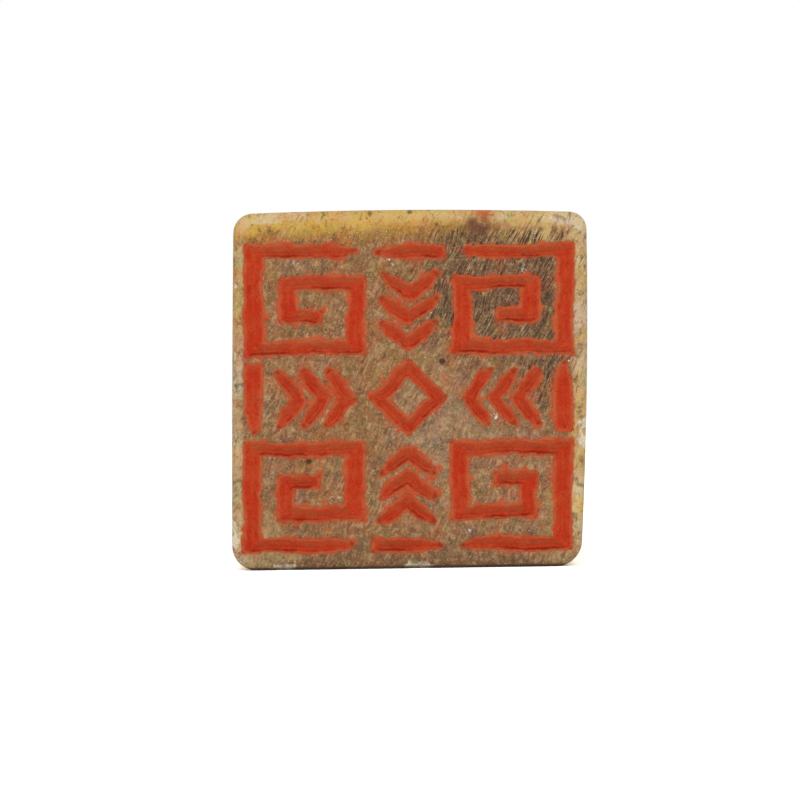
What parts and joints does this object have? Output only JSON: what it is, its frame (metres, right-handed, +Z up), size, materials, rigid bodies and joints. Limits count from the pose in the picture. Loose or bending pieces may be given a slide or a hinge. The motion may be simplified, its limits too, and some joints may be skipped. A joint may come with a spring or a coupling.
{
  "type": "seal stamp",
  "caption": "Square stone seal stamp lying on its side, its face carved with a fret ornament whose V-shaped cuts hold dried vermilion ink paste.",
  "frame": {"origin": "under the middle of the block, on the surface that the block lies on", "axes": "+Y along the block from its carved face to its handle end, +Z up out of the side that it lies on, +X to the right as the carved face is looked at"},
  "size_m": [0.0254, 0.05, 0.0253],
  "materials": {
    "soapstone": "ground smooth, waxy",
    "vermilion_paste": "dry, matt"
  },
  "bodies": {
    "root": {"stone_block": "soapstone", "paste_fret_upper_left": "vermilion_paste", "paste_fret_upper_right": "vermilion_paste", "paste_fret_lower_left": "vermilion_paste", "paste_fret_lower_right": "vermilion_paste", "paste_bar_top": "vermilion_paste", "paste_chevron_top_1": "vermilion_paste", "paste_chevron_top_2": "vermilion_paste", "paste_chevron_top_3": "vermilion_paste", "paste_bar_right": "vermilion_paste", "paste_chevron_right_1": "vermilion_paste", "paste_chevron_right_2": "vermilion_paste", "paste_chevron_right_3": "vermilion_paste", "paste_bar_bottom": "vermilion_paste", "paste_chevron_bottom_1": "vermilion_paste", "paste_chevron_bottom_2": "vermilion_paste", "paste_chevron_bottom_3": "vermilion_paste", "paste_bar_left": "vermilion_paste", "paste_chevron_left_1": "vermilion_paste", "paste_chevron_left_2": "vermilion_paste", "paste_chevron_left_3": "vermilion_paste", "paste_lozenge": "vermilion_paste"}
  },
  "joints": []
}
